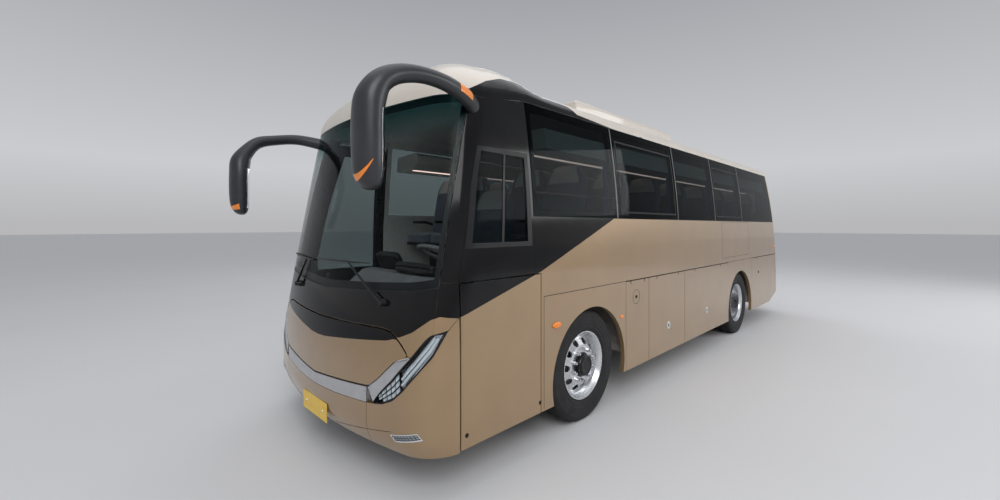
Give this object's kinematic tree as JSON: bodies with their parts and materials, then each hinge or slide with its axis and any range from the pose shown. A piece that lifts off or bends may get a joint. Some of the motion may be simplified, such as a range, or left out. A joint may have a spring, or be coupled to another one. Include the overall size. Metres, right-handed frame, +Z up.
{
  "type": "touring coach",
  "caption": "Hollow touring coach body on a low frame with steered front wheels, twin rear wheels, a plug door, luggage doors, service flaps and an engine hatch.",
  "frame": {"origin": "on the ground, in the middle of the overall length and width", "axes": "+X forward, +Y to the left side, +Z up"},
  "size_m": [9.285, 2.66, 3.1456],
  "materials": {
    "body_paint": "glossy metallic paint",
    "roof_paint": "glossy paint",
    "black_gloss": "glossy",
    "frame_steel": "satin",
    "floor_board": "matte",
    "cast": "rough",
    "rim_alloy": "polished",
    "tyre_rubber": "matte",
    "clear_glass": "clear, lightly tinted",
    "bright_metal": "mirror",
    "lamp_clear": "clear",
    "lamp_red": "glossy",
    "lamp_amber": "glossy",
    "plate_yellow": "satin",
    "cabin_plastic": "satin",
    "rack_plastic": "satin",
    "seat_cloth": "woven",
    "curtain_cloth": "woven"
  },
  "bodies": {
    "coach_body": {"chassis_frame": "frame_steel", "floor": "floor_board", "engine": "cast", "front_axle": "cast", "rear_axle": "cast", "wall_left": "body_paint", "wall_right": "body_paint", "skirt_panels": "body_paint", "roof": "roof_paint", "roof_aircon": "roof_paint", "side_glass": "clear_glass", "windscreen": "clear_glass", "front_mask": "black_gloss", "front_bumper": "body_paint", "bright_band": "bright_metal", "headlamps": "lamp_clear", "fog_lamps": "lamp_clear", "wipers": "black_gloss", "mirrors": "black_gloss", "rear_panel": "body_paint", "rear_glass": "clear_glass", "rear_bumper": "body_paint", "rear_lamps": "lamp_red", "side_markers": "lamp_amber", "number_plates": "plate_yellow", "dashboard": "cabin_plastic", "seats": "seat_cloth", "luggage_racks": "rack_plastic", "curtains": "curtain_cloth"},
    "knuckle_left_body": {"knuckle_left": "cast"},
    "knuckle_right_body": {"knuckle_right": "cast"},
    "track_rod_body": {"track_rod": "cast"},
    "wheel_front_left": {"rim_front_left": "rim_alloy", "tyre_front_left": "tyre_rubber"},
    "wheel_front_right": {"rim_front_right": "rim_alloy", "tyre_front_right": "tyre_rubber"},
    "wheels_rear_left": {"rims_rear_left": "rim_alloy", "tyres_rear_left": "tyre_rubber"},
    "wheels_rear_right": {"rims_rear_right": "rim_alloy", "tyres_rear_right": "tyre_rubber"},
    "front_flap_body": {"front_flap": "body_paint"},
    "engine_hatch_body": {"engine_hatch": "body_paint"},
    "side_flap_left_body": {"side_flap_left": "body_paint"},
    "filler_flap_left_body": {"filler_flap_left": "body_paint"},
    "filler_flap_right_body": {"filler_flap_right": "body_paint"},
    "luggage_left_1_body": {"luggage_door_left_1": "body_paint"},
    "luggage_left_2_body": {"luggage_door_left_2": "body_paint"},
    "luggage_right_1_body": {"luggage_door_right_1": "body_paint"},
    "luggage_right_2_body": {"luggage_door_right_2": "body_paint"},
    "rear_flap_left_body": {"rear_flap_left": "body_paint"},
    "rear_flap_right_body": {"rear_flap_right": "body_paint"},
    "door_arm_body": {"door_arm": "frame_steel"},
    "plug_door_body": {"plug_door": "body_paint", "plug_door_glass": "clear_glass"},
    "steering_wheel_body": {"steering_wheel": "black_gloss"}
  },
  "joints": [
    {"name": "steer_left", "type": "hinge", "parent": "coach_body", "child": "knuckle_left_body", "pos_m": [2.4325, 0.86, 0.49], "axis": [0, 0, 1], "range_deg": [-38, 38]},
    {"name": "steer_right", "type": "hinge", "parent": "coach_body", "child": "knuckle_right_body", "pos_m": [2.4325, -0.86, 0.49], "axis": [0, 0, 1], "range_deg": [-38, 38]},
    {"name": "track_rod_pivot", "type": "hinge", "parent": "knuckle_left_body", "child": "track_rod_body", "pos_m": [2.2325, 0.86, 0.33], "axis": [0, 0, 1], "range_deg": [-38, 38]},
    {"name": "spin_front_left", "type": "hinge", "parent": "knuckle_left_body", "child": "wheel_front_left", "pos_m": [2.4325, 1.0675, 0.49], "axis": [0, 1, 0], "continuous": true},
    {"name": "spin_front_right", "type": "hinge", "parent": "knuckle_right_body", "child": "wheel_front_right", "pos_m": [2.4325, -1.0675, 0.49], "axis": [0, 1, 0], "continuous": true},
    {"name": "spin_rear_left", "type": "hinge", "parent": "coach_body", "child": "wheels_rear_left", "pos_m": [-1.9675, 0.9165, 0.49], "axis": [0, 1, 0], "continuous": true},
    {"name": "spin_rear_right", "type": "hinge", "parent": "coach_body", "child": "wheels_rear_right", "pos_m": [-1.9675, -0.9165, 0.49], "axis": [0, 1, 0], "continuous": true},
    {"name": "front_flap_hinge", "type": "hinge", "parent": "coach_body", "child": "front_flap_body", "pos_m": [4.2325, 0, 1.32], "axis": [0, -1, 0], "range_deg": [0, 62]},
    {"name": "engine_hatch_hinge", "type": "hinge", "parent": "coach_body", "child": "engine_hatch_body", "pos_m": [-4.4775, 0, 1.7], "axis": [0, 1, 0], "range_deg": [0, 75]},
    {"name": "side_flap_left_hinge", "type": "hinge", "parent": "coach_body", "child": "side_flap_left_body", "pos_m": [3.5325, 1.241, 1.356], "axis": [1, 0, 0], "range_deg": [0, 80]},
    {"name": "filler_flap_left_hinge", "type": "hinge", "parent": "coach_body", "child": "filler_flap_left_body", "pos_m": [1.5425, 1.241, 1.171], "axis": [1, 0, 0], "range_deg": [0, 85]},
    {"name": "filler_flap_right_hinge", "type": "hinge", "parent": "coach_body", "child": "filler_flap_right_body", "pos_m": [1.5425, -1.241, 1.171], "axis": [-1, 0, 0], "range_deg": [0, 85]},
    {"name": "luggage_left_1_hinge", "type": "hinge", "parent": "coach_body", "child": "luggage_left_1_body", "pos_m": [0.8125, 1.241, 1.171], "axis": [1, 0, 0], "range_deg": [0, 85]},
    {"name": "luggage_right_1_hinge", "type": "hinge", "parent": "coach_body", "child": "luggage_right_1_body", "pos_m": [0.8125, -1.241, 1.171], "axis": [-1, 0, 0], "range_deg": [0, 85]},
    {"name": "luggage_left_2_hinge", "type": "hinge", "parent": "coach_body", "child": "luggage_left_2_body", "pos_m": [-0.4975, 1.241, 1.171], "axis": [1, 0, 0], "range_deg": [0, 85]},
    {"name": "luggage_right_2_hinge", "type": "hinge", "parent": "coach_body", "child": "luggage_right_2_body", "pos_m": [-0.4975, -1.241, 1.171], "axis": [-1, 0, 0], "range_deg": [0, 85]},
    {"name": "rear_flap_left_hinge", "type": "hinge", "parent": "coach_body", "child": "rear_flap_left_body", "pos_m": [-3.3675, 1.241, 1.171], "axis": [1, 0, 0], "range_deg": [0, 85]},
    {"name": "rear_flap_right_hinge", "type": "hinge", "parent": "coach_body", "child": "rear_flap_right_body", "pos_m": [-3.3675, -1.241, 1.171], "axis": [-1, 0, 0], "range_deg": [0, 85]},
    {"name": "door_arm_swing", "type": "hinge", "parent": "coach_body", "child": "door_arm_body", "pos_m": [3.7625, -1.12, 0.86], "axis": [0, 0, 1], "range_deg": [0, 105]},
    {"name": "plug_door_pivot", "type": "hinge", "parent": "door_arm_body", "child": "plug_door_body", "pos_m": [3.3625, -1.105, 0.8], "axis": [0, 0, 1], "range_deg": [-105, 0]},
    {"name": "steering_wheel_turn", "type": "hinge", "parent": "coach_body", "child": "steering_wheel_body", "pos_m": [3.5425, 0.6, 1.5], "axis": [-0.3746, 0, 0.9272], "range_deg": [-684, 684]}
  ],
  "couplings": [
    {"joint": "steer_right", "follows": "steer_left", "ratio": 1},
    {"joint": "track_rod_pivot", "follows": "steer_left", "ratio": -1},
    {"joint": "steering_wheel_turn", "follows": "steer_left", "ratio": 18},
    {"joint": "plug_door_pivot", "follows": "door_arm_swing", "ratio": -1}
  ]
}
